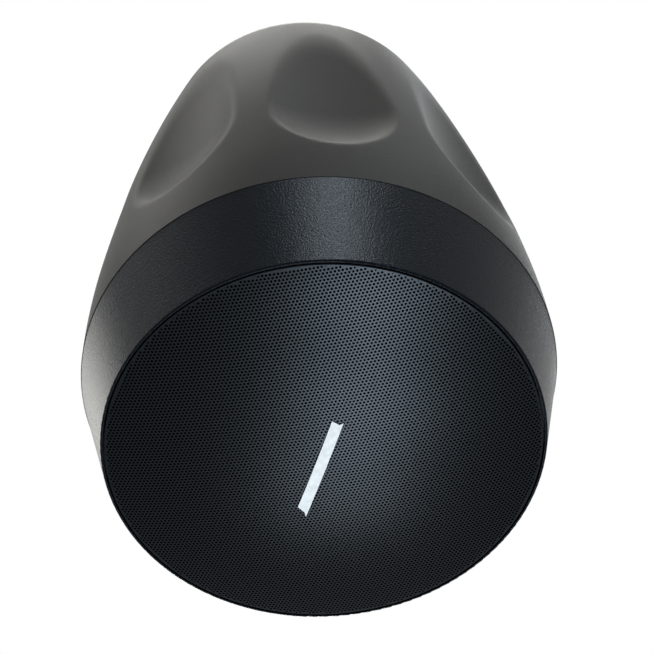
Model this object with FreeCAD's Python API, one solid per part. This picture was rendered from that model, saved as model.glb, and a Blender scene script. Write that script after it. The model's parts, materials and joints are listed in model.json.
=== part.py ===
import FreeCAD, Part
import math
import os

# A pendant loudspeaker, hung from above. Millimetres, +Z up, the origin under the middle of the
# domed grille, which is the lowest point. The front, at azimuth 0, is -Y, with a hollow facing it.

Vector = FreeCAD.Vector
UP = Vector(0, 0, 1)
ORIGIN = Vector(0, 0, 0)

# Name strip on the grille
strip_thickness = 0.8
strip_turn = 101.9
strip_near = -29.0
strip_far = 35.7
strip_width = 6.7
strip_offset = 2.0
strip_near_tip = 0.5
strip_far_tip = 5.7
strip_notch = 1.4
strip_notch_place = 1.7

# Domed grille: pressed from perforated sheet, with a short skirt that stands on the seat
grille_sag = 15.2
grille_sheet = 0.8
grille_corner = 0.9
grille_clearance = 1.0
grille_hole_r = 6.4
grille_hole_pitch = 21.0
grille_hole_rings = 5
scrim_thickness = 0.5
scrim_gap = 0.05

# Lower housing: the visible band, the rim, the grille seat and the baffle are one moulding
band_height = 66.9
band_step = 0.3
rim_inset = 12.2
rim_round = 1.2
rim_face = 0.3
seat_depth = 6.0
ledge_width = 4.9
housing_wall = 3.4
ledge_thickness = 3.2
baffle_rise = 16.0
baffle_thickness = 4.0
tongue_height = 5.0
tongue_depth = 10.0
tongue_width = 2.7
tongue_clearance = 0.4

# Upper shell
parting_gap = 0.3
shell_r = 141.5
shell_wall = 3.5
flank_height = 49.0
crown_height = 220.7
shoulder_r = 43.4
brow_r = 28.0
tilt_bottom = 3.2
tilt_flank = 7.56
tilt_crown = 17.33
tilt_shoulder = 45.0
well_r = 54.2
well_depth = 30.0
well_edge_round = 2.0
well_ledge = 8.2

# Hollows in the upper shell
hollow_count = 8
hollow_low = 127.0
hollow_high = 308.0
hollow_floor_z = 190.0
hollow_depth = 13.3
hollow_r = 96.0

# Screws that close the enclosure
tube_count = 8
tube_inset = 25.5
tube_r = 6.5
tube_bore_r = 4.6
tube_seat = 6.0
boss_r = 6.0
boss_height = 30.0
boss_rib = 3.0
insert_r = 2.9
insert_length = 9.0
m4_r = 2.0
thread_gap = 0.03
head_r = 3.9
head_height = 2.6
gasket_section = 1.6
gasket_proud = 0.3

# Woofer, mounted on the front of the baffle
woofer_flange_r = 84.0
woofer_flange_t = 3.0
driver_gasket_t = 1.0
basket_wall = 3.0
basket_r = 71.5
basket_opening_gap = 1.0
basket_depth = 49.0
basket_straight = 13.0
basket_rear_r = 50.5
basket_plate_t = 2.5
basket_window_count = 6
basket_window_width = 34.0
spider_rise = 31.0
spider_overhang = 0.5
spider_rim = 5.2
spider_ledge_cover = 2.5
spider_sheet = 0.6
spider_wave = 1.1
surround_r = 74.5
roll_centre_r = 62.0
roll_r = 5.0
surround_sheet = 0.8
cone_r = 57.0
cone_sheet = 0.8
cone_depth = 24.0
cone_bow = 3.0
coil_r = 12.65
former_sheet = 0.2
winding_thickness = 0.6
winding_length = 12.0
gap_clearance = 0.55
front_plate_r = 42.0
front_plate_t = 6.0
magnet_r = 45.0
magnet_hole_r = 24.0
magnet_t = 18.0
back_plate_r = 43.0
back_plate_t = 6.0
tab_strip_t = 1.6
pole_clearance = 0.45
pole_bore_r = 4.1
woofer_screw_count = 6
woofer_screw_circle_r = 79.2
woofer_screw_length = 13.5
screw_hole_gap = 0.3
baffle_boss_r = 4.5
baffle_boss_height = 12.0

# Tweeter, carried on a post in front of the cone
post_r = 7.0
post_spigot_gap = 0.1
tweeter_r = 16.0
tweeter_back_z = 42.0
pot_length = 9.0
pot_cavity = 6.0
pot_cavity_r = 11.2
pole_plate_r = 9.2
pole_plate_t = 2.5
disc_magnet_r = 8.8
tweeter_coil_r = 9.55
tweeter_coil_wall = 0.4
tweeter_coil_length = 3.5
dome_lip_r = 10.2
dome_rise = 3.8
dome_sheet = 0.3
tweeter_roll_r = 1.1
tweeter_flange_r = 15.5
horn_wall = 1.2
horn_length = 8.6
horn_bar = 1.6
horn_disc_r = 4.0

# Bass ports
port_r = 12.5
port_wall = 2.0
port_length = 71.5
port_flange = 3.0
port_flange_t = 1.5
port_inset = 26.8

# Wadding
pad_low_z = 200.0
pad_height = 70.0
pad_hole_r = 90.0
pad_gap = 0.4

# Connection panel in the well
panel_thickness = 3.0
panel_clearance = 0.3
panel_gasket_t = 1.0
panel_screw_count = 6
panel_screw_r = 1.9
panel_boss_r = 4.0
panel_boss_height = 9.0
panel_boss_inset = 0.2
panel_screw_bite = 6.0
panel_head_r = 3.0
panel_head_height = 2.0
panel_recess_r = 1.1
panel_recess = 1.2

# Hanger bracket
strap_width = 24.0
strap_thickness = 3.0
hanger_half_span = 30.0
hanger_foot = 14.0
hanger_rise = 50.6
hanger_bend = 5.0
hook_hole_r = 5.0
safety_hole_r = 4.0
safety_hole_x = 17.0
m5_r = 2.5
m5_head_r = 4.3
m5_head_height = 3.5
m5_nut_height = 4.0
m5_nut_flats = 8.0

# Tap selector
switch_y = -31.0
switch_body_r = 11.0
switch_body_height = 12.0
bush_r = 4.5
bush_height = 15.0
switch_nut_height = 2.4
switch_nut_flats = 14.0
shaft_r = 3.0
shaft_running_gap = 0.05
shaft_length = 33.0
knob_r = 9.0
knob_height = 11.0
knob_gap = 1.0
knob_flutes = 12
knob_flute_r = 1.1
knob_rib = 1.8

# Input connector
header_width = 26.0
header_depth = 14.0
header_height = 9.0
header_y = 27.0
plug_inset = 0.6
plug_height = 15.0
wire_way_r = 1.7
wire_way_count = 4
terminal_screw_r = 1.9

# Crossover board, hung under the panel
standoff_r = 3.0
standoff_length = 38.0
standoff_x = 30.0
standoff_y = 23.0
board_width = 70.0
board_depth = 56.0
board_thickness = 1.6
m3_r = 1.5
m3_head_r = 2.8
m3_head_height = 2.0
core_width = 48.0
core_depth = 26.0
core_height = 32.0
core_leg = 6.0
lamination_slot = 10.0
winding_overhang = 7.5
lead_r = 2.0
lead_rise = 67.0
lead_drop = 110.0
lead_board_x = 31.0

# Heights worked out from the sizes above
rim_z = strip_thickness + grille_sag
band_top_r = shell_r - band_step
rim_r = shell_r - rim_inset
port_circle_r = rim_r - port_inset
tube_circle_r = shell_r - tube_inset
part_z = rim_z + band_height
shell_z = part_z + parting_gap
ledge_inner_r = well_r - well_ledge
panel_screw_circle_r = well_r - panel_boss_r - panel_boss_inset
baffle_z = rim_z + baffle_rise
seat_z = rim_z + seat_depth
seat_r = rim_r - rim_round - rim_face
grille_r = seat_r - grille_clearance
spider_ledge_r = basket_rear_r + spider_overhang
spider_r = spider_ledge_r + spider_rim
flange_z = baffle_z - driver_gasket_t - woofer_flange_t
basket_rear_z = flange_z + woofer_flange_t + basket_depth
gap_z = basket_rear_z + front_plate_t / 2


# Small helpers for solids

def disc(radius, low, high, x=0.0, y=0.0):
    return Part.makeCylinder(radius, high - low, Vector(x, y, low), UP)


def ring(inner, outer, low, high, x=0.0, y=0.0):
    return disc(outer, low, high, x, y).cut(disc(inner, low, high, x, y))


def block(x_low, x_high, y_low, y_high, low, high):
    corner = Vector(x_low, y_low, low)
    return Part.makeBox(x_high - x_low, y_high - y_low, high - low, corner)


def hexagon(flats, low, high, x=0.0, y=0.0):
    corner_r = flats / math.sqrt(3.0)
    corners = [Vector(x + corner_r * math.cos(math.radians(a)), y + corner_r * math.sin(math.radians(a)), low)
               for a in range(0, 361, 60)]
    return Part.Face(Part.makePolygon(corners)).extrude(UP * (high - low))


def line(start, end):
    return Part.LineSegment(start, end).toShape()


def arc(start, middle, end):
    return Part.Arc(start, middle, end).toShape()


def turned(points):
    """Solid of revolution about Z from the corners (radius, height) of its half section."""
    corners = [Vector(radius, 0, height) for radius, height in points]
    return Part.Face(Part.makePolygon(corners + corners[:1])).revolve(ORIGIN, UP, 360)


def turned_edges(edges):
    return Part.Face(Part.Wire(edges)).revolve(ORIGIN, UP, 360)


def spun(shape, degrees):
    turned_copy = shape.copy()
    turned_copy.rotate(ORIGIN, UP, degrees)
    return turned_copy


def all_round(shape, count, first=0.0):
    return [spun(shape, first + index * 360.0 / count) for index in range(count)]


def fused(first, others):
    return first.fuse(others).removeSplitter()


def group(shapes):
    return Part.makeCompound(shapes)


# The shell's outline: four arcs, each starting at the tilt where the last one ended

def tilt_arc(start, tilt_start, tilt_end, radius):
    """Arc of a half section that leans inwards by the two tilts, in degrees from upright."""
    def reached(tilt):
        inwards = radius * (math.cos(math.radians(tilt_start)) - math.cos(math.radians(tilt)))
        upwards = radius * (math.sin(math.radians(tilt)) - math.sin(math.radians(tilt_start)))
        return Vector(start.x - inwards, 0, start.z + upwards)
    end = reached(tilt_end)
    return arc(start, reached((tilt_start + tilt_end) / 2), end), end


def arc_radius(height, tilt_start, tilt_end):
    return height / (math.sin(math.radians(tilt_end)) - math.sin(math.radians(tilt_start)))


flank_r = arc_radius(flank_height, tilt_bottom, tilt_flank)
crown_r = arc_radius(crown_height, tilt_flank, tilt_crown)


def shell_form(inset):
    """Body of revolution inside the shell's outline, moved in by the inset."""
    lean = math.radians(tilt_bottom)
    start = Vector(shell_r - inset * math.cos(lean), 0, shell_z - inset * math.sin(lean))
    flank, flank_end = tilt_arc(start, tilt_bottom, tilt_flank, flank_r - inset)
    crown, crown_end = tilt_arc(flank_end, tilt_flank, tilt_crown, crown_r - inset)
    shoulder, shoulder_end = tilt_arc(crown_end, tilt_crown, tilt_shoulder, shoulder_r - inset)
    brow, top = tilt_arc(shoulder_end, tilt_shoulder, 90.0, brow_r - inset)
    foot = Vector(start.x, 0, shell_z - (shell_wall if inset else 0.0))
    edges = []
    if inset:
        edges.append(line(foot, start))
    edges += [flank, crown, shoulder, brow, line(top, Vector(0, 0, top.z)),
              line(Vector(0, 0, top.z), Vector(0, 0, foot.z)), line(Vector(0, 0, foot.z), foot)]
    return turned_edges(edges), top.z


def shell_outline_r(height):
    """Outside radius of the shell at a height between its foot and the shoulder."""
    lean = math.radians(tilt_bottom)
    rise = height - shell_z
    if rise <= flank_height:
        tilt = math.asin(math.sin(lean) + rise / flank_r)
        return shell_r - flank_r * (math.cos(lean) - math.cos(tilt))
    knee = math.radians(tilt_flank)
    knee_r = shell_r - flank_r * (math.cos(lean) - math.cos(knee))
    tilt = math.asin(math.sin(knee) + (rise - flank_height) / crown_r)
    return knee_r - crown_r * (math.cos(knee) - math.cos(tilt))


outer_form, top_z = shell_form(0.0)
panel_z = top_z - well_depth
panel_low_z = panel_z - panel_thickness
ledge_z = panel_low_z - panel_gasket_t
board_z = panel_low_z - standoff_length


def hollow_cutter(grow):
    """Scoop that cuts one hollow: straight and tapering out at the top, rounded off at the bottom."""
    top = Vector(shell_outline_r(hollow_high), 0, hollow_high)
    floor = Vector(shell_outline_r(hollow_floor_z) - hollow_depth, 0, hollow_floor_z)
    along = (top - floor).normalize()
    outwards = Vector(along.z, 0, -along.x)
    lip = Vector(shell_outline_r(hollow_low), 0, hollow_low)
    chord = lip - floor
    drop = -chord.dot(along)
    lift = chord.dot(outwards)
    bowl_r = (drop * drop + lift * lift) / (2.0 * lift)
    bowl_centre = floor + outwards * bowl_r
    sweep = math.asin(drop / bowl_r) * 1.25
    reach = bowl_r + grow

    def on_bowl(angle):
        return bowl_centre - outwards * (reach * math.cos(angle)) - along * (reach * math.sin(angle))

    start = on_bowl(0.0)
    end = on_bowl(sweep)
    far = start + along * (1.35 * (top - floor).Length)
    axis_point = floor + outwards * hollow_r
    far_axis = far + outwards * (hollow_r + grow)
    end_axis = end + outwards * (axis_point - end).dot(outwards)
    edges = [arc(start, on_bowl(sweep / 2), end), line(end, end_axis), line(end_axis, far_axis),
             line(far_axis, far), line(far, start)]
    scoop = Part.Face(Part.Wire(edges)).revolve(axis_point, along, 360)
    return spun(scoop, -90.0)


def upper_shell():
    outer = outer_form.cut(all_round(hollow_cutter(0.0), hollow_count))
    inner = shell_form(shell_wall)[0].cut(all_round(hollow_cutter(shell_wall), hollow_count))
    shell = outer.cut(inner)
    well_wall = disc(well_r + shell_wall, ledge_z - shell_wall, top_z - shell_wall / 2)
    shell = shell.fuse(well_wall)
    edge = well_edge_round
    well = turned([(0, ledge_z), (well_r, ledge_z), (well_r, top_z - edge), (well_r + edge, top_z),
                   (well_r + edge, top_z + 1), (0, top_z + 1)])
    shell = shell.cut([well, disc(ledge_inner_r, ledge_z - shell_wall - 1, ledge_z + 1)])
    boss = disc(boss_r, shell_z, shell_z + boss_height, tube_circle_r)
    rib_foot = shell_z + tongue_height + 1.0
    wall_middle = shell_r - shell_wall / 2
    rib = block(tube_circle_r, wall_middle, -boss_rib / 2, boss_rib / 2, rib_foot, shell_z + boss_height)
    first = 180.0 / tube_count
    shell = shell.fuse(all_round(boss.fuse(rib), tube_count, first))
    panel_boss = disc(panel_boss_r, ledge_z - panel_boss_height, ledge_z - shell_wall / 2, panel_screw_circle_r)
    shell = shell.fuse(all_round(panel_boss, panel_screw_count, 30.0)).removeSplitter()
    insert_bore = disc(insert_r, shell_z - 1, shell_z + insert_length + 3.0, tube_circle_r)
    panel_bore = disc(panel_screw_r, ledge_z - panel_boss_height + 1.5, ledge_z + 1, panel_screw_circle_r)
    bores = all_round(insert_bore, tube_count, first) + all_round(panel_bore, panel_screw_count, 30.0)
    return shell.cut(bores)


def lower_housing():
    rim_low = Vector(rim_r, 0, rim_z + rim_round)
    lean = (band_top_r - rim_r) / (part_z - rim_low.z)
    wall_low_r = rim_r - housing_wall + lean * (seat_z + ledge_thickness - rim_low.z)
    bend = rim_round * (1 - math.cos(math.radians(45)))
    seat = Vector(seat_r, 0, rim_z)
    ledge_r = seat_r - ledge_width
    hub_r = basket_r + basket_opening_gap
    corners = [(seat_r, seat_z), (ledge_r, seat_z), (ledge_r, baffle_z), (hub_r, baffle_z),
               (hub_r, baffle_z + baffle_thickness),
               (ledge_r + ledge_thickness, baffle_z + baffle_thickness),
               (ledge_r + ledge_thickness, seat_z + ledge_thickness),
               (wall_low_r, seat_z + ledge_thickness), (band_top_r - housing_wall, part_z)]
    corners = [Vector(radius, 0, height) for radius, height in corners]
    top = Vector(band_top_r, 0, part_z)
    edges = [line(top, rim_low),
             arc(rim_low, Vector(rim_r - bend, 0, rim_z + bend), Vector(rim_r - rim_round, 0, rim_z)),
             line(Vector(rim_r - rim_round, 0, rim_z), seat), line(seat, corners[0])]
    edges += [line(a, b) for a, b in zip(corners, corners[1:])]
    edges.append(line(corners[-1], top))
    housing = turned_edges(edges)
    tongue_r = shell_r - shell_wall - tongue_clearance
    tongue_foot = part_z - tongue_depth
    tongue = turned([(tongue_r - tongue_width, tongue_foot), (tongue_r - tongue_width, part_z + tongue_height),
                     (tongue_r, part_z + tongue_height), (tongue_r, tongue_foot)])
    tube = disc(tube_r, baffle_z, part_z, tube_circle_r)
    rib = block(hub_r, tube_circle_r, -1.25, 1.25, baffle_z + 1, baffle_z + baffle_boss_height)
    boss = disc(baffle_boss_r, baffle_z + 1, baffle_z + baffle_boss_height, woofer_screw_circle_r)
    first = 180.0 / tube_count
    parts = [tongue] + all_round(tube.fuse(rib), tube_count, first)
    parts += all_round(boss, woofer_screw_count)
    housing = fused(housing, parts)
    tube_bore = disc(tube_bore_r, baffle_z - 1, part_z - tube_seat, tube_circle_r)
    screw_way = disc(m4_r + screw_hole_gap, baffle_z - 1, part_z + 1, tube_circle_r)
    pilot = disc(m4_r, baffle_z - 1, baffle_z + baffle_boss_height - 1, woofer_screw_circle_r)
    opening = disc(hub_r, baffle_z - 1, part_z)
    port_ways = [disc(port_r + port_wall + 0.1, baffle_z - 1, baffle_z + baffle_thickness + 1, side * port_circle_r)
                 for side in (-1, 1)]
    groove_r = (shell_r + shell_r - shell_wall) / 2 - gasket_section / 2
    groove = ring(groove_r, groove_r + gasket_section, shell_z - gasket_section, part_z + 1)
    cuts = all_round(tube_bore.fuse(screw_way), tube_count, first)
    cuts += all_round(pilot, woofer_screw_count) + port_ways + [opening, groove]
    return housing.cut(cuts)


def shell_gasket():
    groove_r = (shell_r + shell_r - shell_wall) / 2 - gasket_section / 2
    return ring(groove_r, groove_r + gasket_section, shell_z - gasket_section, shell_z)


def screw(shank_r, length, cap_r, cap_height, seat, x=0.0, y=0.0, down=False):
    """Pan-head screw whose head bears on the seat height; it points up, or down if asked."""
    if down:
        return disc(cap_r, seat, seat + cap_height, x, y).fuse(disc(shank_r, seat - length, seat, x, y))
    return disc(cap_r, seat - cap_height, seat, x, y).fuse(disc(shank_r, seat, seat + length, x, y))


def driven(fastener, recess_r, depth, seat_face, x=0.0, y=0.0, down=False):
    """The fastener with a hexagon recess in its head."""
    low, high = (seat_face - depth, seat_face + 1) if down else (seat_face - 1, seat_face + depth)
    return fastener.cut(hexagon(2 * recess_r, low, high, x, y))


def housing_screws():
    seat = part_z - tube_seat
    one = screw(m4_r - thread_gap, tube_seat + parting_gap + insert_length, head_r, head_height, seat, tube_circle_r)
    one = driven(one, 1.3, 1.5, seat - head_height, tube_circle_r)
    return group(all_round(one, tube_count, 180.0 / tube_count))


def shell_inserts():
    one = ring(m4_r, insert_r, shell_z, shell_z + insert_length, tube_circle_r)
    return group(all_round(one, tube_count, 180.0 / tube_count))


# Grille, cloth and name strip

def dome_radius(sag):
    return (grille_r * grille_r + sag * sag) / (2.0 * sag)


def dome_height(radius, offset):
    """Height of the surface that lies the offset behind the grille's outer face."""
    sphere_r = dome_radius(grille_sag)
    centre_z = strip_thickness + sphere_r
    return centre_z - math.sqrt((sphere_r - offset) ** 2 - radius ** 2)


def dome_arc(radius_from, radius_to, offset):
    middle = (radius_from + radius_to) / 2
    points = [Vector(r, 0, dome_height(r, offset)) for r in (radius_from, middle, radius_to)]
    return arc(*points)


def grille_holes():
    cutters = []
    row = grille_hole_pitch * math.sqrt(3.0) / 2
    for across in range(-grille_hole_rings, grille_hole_rings + 1):
        count = 2 * grille_hole_rings + 1 - abs(across)
        for index in range(count):
            x = (index - (count - 1) / 2) * grille_hole_pitch
            cutters.append(hexagon(2 * grille_hole_r * math.cos(math.pi / 6), -1, rim_z + 1, x, across * row))
    return cutters


def grille():
    bend_r = grille_r - grille_corner
    outer = dome_arc(0.0, bend_r, 0.0)
    inner_bend_r = bend_r - grille_sheet * 0.6
    inner = dome_arc(0.0, inner_bend_r, grille_sheet)
    rim_start = Vector(bend_r, 0, dome_height(bend_r, 0.0))
    inner_end = Vector(inner_bend_r, 0, dome_height(inner_bend_r, grille_sheet))
    skirt_z = rim_start.z + grille_corner
    skirt_low = Vector(grille_r, 0, skirt_z)
    skirt_top = Vector(grille_r, 0, seat_z)
    inner_top = Vector(grille_r - grille_sheet, 0, seat_z)
    inner_low = Vector(grille_r - grille_sheet, 0, skirt_z + grille_sheet * 0.6)
    bulge = grille_corner * (1 - math.cos(math.radians(45)))
    corner = Vector(grille_r - bulge, 0, rim_start.z + bulge)
    edges = [outer, arc(rim_start, corner, skirt_low), line(skirt_low, skirt_top), line(skirt_top, inner_top),
             line(inner_top, inner_low), line(inner_low, inner_end), inner,
             line(Vector(0, 0, dome_height(0, grille_sheet)), Vector(0, 0, dome_height(0, 0)))]
    sheet = turned_edges(edges)
    return sheet.cut(grille_holes())


def grille_scrim():
    edge_r = grille_r - grille_corner - 2.0
    near, far = grille_sheet + scrim_gap, grille_sheet + scrim_gap + scrim_thickness
    edges = [dome_arc(0.0, edge_r, near),
             line(Vector(edge_r, 0, dome_height(edge_r, near)), Vector(edge_r, 0, dome_height(edge_r, far))),
             dome_arc(0.0, edge_r, far),
             line(Vector(0, 0, dome_height(0, far)), Vector(0, 0, dome_height(0, near)))]
    return turned_edges(edges)


def name_strip():
    left = strip_offset + strip_width / 2
    right = strip_offset - strip_width / 2
    notch_y = right + strip_notch_place
    far_end = strip_far + strip_far_tip / 2
    outline = [(strip_near, left), (strip_near + strip_notch, notch_y), (strip_near - strip_near_tip, right),
               (strip_far + strip_far_tip, right), (far_end, notch_y), (strip_far, left)]
    corners = [Vector(x, y, -1) for x, y in outline]
    prism = Part.Face(Part.makePolygon(corners + corners[:1])).extrude(UP * rim_z)
    prism = spun(prism, strip_turn)
    sphere_r = dome_radius(grille_sag)
    centre = Vector(0, 0, strip_thickness + sphere_r)
    layer = Part.makeSphere(sphere_r + strip_thickness, centre).cut(Part.makeSphere(sphere_r, centre))
    return prism.common(layer)


# Woofer

def driver_gasket():
    low = baffle_z - driver_gasket_t
    face = ring(basket_r + 0.5, woofer_flange_r - 0.5, low, baffle_z)
    hole = disc(m4_r + screw_hole_gap, low - 1, baffle_z + 1, woofer_screw_circle_r)
    return face.cut(all_round(hole, woofer_screw_count))


def woofer_basket():
    flange_top = flange_z + woofer_flange_t
    inner_r = basket_r - basket_wall
    rear_low = basket_rear_z - basket_plate_t
    knee = flange_top + basket_straight
    basket = turned([(inner_r, flange_z), (woofer_flange_r, flange_z), (woofer_flange_r, flange_top),
                     (basket_r, flange_top), (basket_r, knee), (basket_rear_r, rear_low),
                     (basket_rear_r, basket_rear_z), (magnet_hole_r, basket_rear_z), (magnet_hole_r, rear_low),
                     (basket_rear_r - basket_wall, rear_low), (inner_r, knee - 0.8)])
    spider_z = flange_top + spider_rise
    ledge = ring(spider_ledge_r, spider_r + spider_ledge_cover, spider_z - 2, spider_z)
    window_half = basket_window_width / 2
    low_window = block(40, 90, -window_half, window_half, flange_top + 3, spider_z - 4)
    high_window = block(40, 90, -window_half * 0.7, window_half * 0.7, spider_z + 3, rear_low - 2)
    windows = all_round(low_window, basket_window_count, 30.0) + all_round(high_window, basket_window_count, 30.0)
    hole = disc(m4_r + screw_hole_gap, flange_z - 1, flange_top + 1, woofer_screw_circle_r)
    return fused(basket, [ledge]).cut(windows + all_round(hole, woofer_screw_count))


def woofer_surround():
    low, high = flange_z - surround_sheet, flange_z
    outer_r, inner_r = roll_centre_r + roll_r, roll_centre_r - roll_r
    small = roll_r - surround_sheet / 2
    large = roll_r + surround_sheet / 2
    edges = [line(Vector(outer_r + 0.4, 0, low), Vector(surround_r, 0, low)),
             line(Vector(surround_r, 0, low), Vector(surround_r, 0, high)),
             line(Vector(surround_r, 0, high), Vector(outer_r - 0.4, 0, high)),
             line(Vector(outer_r - 0.4, 0, high), Vector(outer_r - 0.4, 0, low)),
             arc(Vector(outer_r - 0.4, 0, low), Vector(roll_centre_r, 0, low - small), Vector(inner_r + 0.4, 0, low)),
             line(Vector(inner_r + 0.4, 0, low), Vector(inner_r + 0.4, 0, high)),
             line(Vector(inner_r + 0.4, 0, high), Vector(inner_r - 4, 0, high)),
             line(Vector(inner_r - 4, 0, high), Vector(inner_r - 4, 0, low)),
             line(Vector(inner_r - 4, 0, low), Vector(inner_r - 0.4, 0, low)),
             arc(Vector(inner_r - 0.4, 0, low), Vector(roll_centre_r, 0, low - large), Vector(outer_r + 0.4, 0, low))]
    return turned_edges(edges)


def woofer_cone():
    neck_r = coil_r + former_sheet
    neck_z = flange_z + cone_depth
    lip_r = roll_centre_r - roll_r
    middle_r = (lip_r - 4 + neck_r) / 2

    def flare(offset):
        start = Vector(lip_r - 4, 0, flange_z + offset)
        end = Vector(neck_r + 0.8, 0, neck_z + offset)
        middle = Vector(middle_r, 0, flange_z + cone_depth / 2 - cone_bow + offset)
        return arc(start, middle, end), start, end

    low_flare, low_start, low_end = flare(0.0)
    high_flare, high_start, high_end = flare(cone_sheet)
    lip = Vector(lip_r, 0, flange_z)
    lip_high = Vector(lip_r, 0, flange_z + cone_sheet)
    neck_low = Vector(neck_r, 0, neck_z)
    neck_high = Vector(neck_r, 0, neck_z + 4.0)
    neck_out = Vector(neck_r + 0.8, 0, neck_z + 4.0)
    edges = [line(lip, low_start), low_flare, line(low_end, neck_low), line(neck_low, neck_high),
             line(neck_high, neck_out), line(neck_out, high_end), high_flare, line(high_start, lip_high),
             line(lip_high, lip)]
    return turned_edges(edges)


def woofer_spider():
    spider_z = flange_z + woofer_flange_t + spider_rise
    inner_r = coil_r + former_sheet
    count = 12
    step = (spider_ledge_r - inner_r - 4) / count
    wave = [(inner_r + 3 + step * (index + 0.5), spider_z + (spider_wave if index % 2 else -spider_wave))
            for index in range(count)]
    under = [(inner_r, spider_z)] + wave + [(spider_ledge_r - 0.2, spider_z), (spider_r, spider_z)]
    over = [(radius, height + spider_sheet) for radius, height in reversed(under)]
    return turned(under + over)


def woofer_former():
    return ring(coil_r, coil_r + former_sheet, flange_z + cone_depth - 2, gap_z + winding_length / 2 + 1)


def woofer_winding():
    inner = coil_r + former_sheet
    return ring(inner, inner + winding_thickness, gap_z - winding_length / 2, gap_z + winding_length / 2)


def woofer_front_plate():
    inner = coil_r + former_sheet + winding_thickness + gap_clearance
    return ring(inner, front_plate_r, basket_rear_z, basket_rear_z + front_plate_t)


def woofer_magnet():
    low = basket_rear_z + front_plate_t
    return ring(magnet_hole_r, magnet_r, low, low + magnet_t)


def woofer_yoke():
    low = basket_rear_z + front_plate_t + magnet_t
    pole_r = coil_r - pole_clearance
    pole_low = basket_rear_z - 1.0
    return turned([(pole_bore_r, pole_low), (pole_r, pole_low), (pole_r, low), (back_plate_r, low),
                   (back_plate_r, low + back_plate_t - 1.5), (back_plate_r - 1.5, low + back_plate_t),
                   (pole_bore_r, low + back_plate_t)])


def woofer_screws():
    one = screw(m4_r - thread_gap, woofer_screw_length, head_r, head_height, flange_z, woofer_screw_circle_r)
    one = driven(one, 1.3, 1.5, flange_z - head_height, woofer_screw_circle_r)
    return group(all_round(one, woofer_screw_count))


def driver_tabs():
    strip = block(front_plate_r + 1, basket_rear_r + 4, -9, 9, basket_rear_z, basket_rear_z + tab_strip_t)
    tab = block(basket_rear_r - 2, basket_rear_r + 4, 0, 1, basket_rear_z + tab_strip_t, basket_rear_z + 7)
    tabs = [tab.translated(Vector(0, y, 0)) for y in (-6.5, 5.5)]
    return fused(strip, tabs)


# Tweeter

diaphragm_z = tweeter_back_z - pot_length - 0.4


def tweeter_post():
    pole_low = basket_rear_z - 1.0
    back_z = basket_rear_z + front_plate_t + magnet_t + back_plate_t
    post = disc(post_r, tweeter_back_z, pole_low)
    return post.fuse(disc(pole_bore_r - post_spigot_gap, pole_low, back_z + 5.0))


def post_nut():
    back_z = basket_rear_z + front_plate_t + magnet_t + back_plate_t
    nut = hexagon(13.0, back_z, back_z + 4.0)
    return nut.cut(disc(pole_bore_r - post_spigot_gap + thread_gap, back_z - 1, back_z + 5))


def tweeter_pot():
    low = tweeter_back_z - pot_length
    return turned([(pot_cavity_r, low), (tweeter_r, low), (tweeter_r, tweeter_back_z), (0, tweeter_back_z),
                   (0, low + pot_cavity), (pot_cavity_r, low + pot_cavity)])


def tweeter_magnet():
    high = tweeter_back_z - pot_length + pot_cavity
    return disc(disc_magnet_r, high - (pot_cavity - pole_plate_t - 0.5), high)


def tweeter_pole():
    low = tweeter_back_z - pot_length + 0.5
    return disc(pole_plate_r, low, low + pole_plate_t)


def tweeter_coil():
    low = diaphragm_z + dome_sheet
    return ring(tweeter_coil_r, tweeter_coil_r + tweeter_coil_wall, low, low + tweeter_coil_length)


def tweeter_dome():
    def cap(radius, crown):
        quarter = radius / 2
        sphere = (radius * radius + crown * crown) / (2 * crown)
        drop = math.sqrt(sphere * sphere - quarter * quarter) - (sphere - crown)
        return quarter, drop
    edge = tweeter_coil_r
    outer_r, outer_drop = cap(edge, dome_rise)
    inner_r, inner_drop = cap(edge - dome_sheet, dome_rise - dome_sheet)
    base = diaphragm_z
    edges = [arc(Vector(0, 0, base - dome_rise), Vector(outer_r, 0, base - outer_drop), Vector(edge, 0, base)),
             line(Vector(edge, 0, base), Vector(dome_lip_r, 0, base)),
             line(Vector(dome_lip_r, 0, base), Vector(dome_lip_r, 0, base + dome_sheet)),
             line(Vector(dome_lip_r, 0, base + dome_sheet), Vector(edge - dome_sheet, 0, base + dome_sheet)),
             line(Vector(edge - dome_sheet, 0, base + dome_sheet), Vector(edge - dome_sheet, 0, base)),
             arc(Vector(edge - dome_sheet, 0, base), Vector(inner_r, 0, base - inner_drop),
                 Vector(0, 0, base - dome_rise + dome_sheet)),
             line(Vector(0, 0, base - dome_rise + dome_sheet), Vector(0, 0, base - dome_rise))]
    return turned_edges(edges)


def tweeter_surround():
    low, high = diaphragm_z, diaphragm_z + 0.4
    inner = dome_lip_r
    outer = inner + 2 * tweeter_roll_r + 0.8
    centre = (inner + outer) / 2
    small, large = tweeter_roll_r - 0.2, tweeter_roll_r + 0.2
    edges = [line(Vector(inner, 0, low), Vector(inner, 0, high)),
             line(Vector(inner, 0, high), Vector(centre - small, 0, high)),
             line(Vector(centre - small, 0, high), Vector(centre - small, 0, low)),
             arc(Vector(centre - small, 0, low), Vector(centre, 0, low - small), Vector(centre + small, 0, low)),
             line(Vector(centre + small, 0, low), Vector(centre + small, 0, high)),
             line(Vector(centre + small, 0, high), Vector(tweeter_flange_r, 0, high)),
             line(Vector(tweeter_flange_r, 0, high), Vector(tweeter_flange_r, 0, low)),
             line(Vector(tweeter_flange_r, 0, low), Vector(centre + large, 0, low)),
             arc(Vector(centre + large, 0, low), Vector(centre, 0, low - large), Vector(centre - large, 0, low)),
             line(Vector(centre - large, 0, low), Vector(inner, 0, low))]
    return turned_edges(edges)


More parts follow.
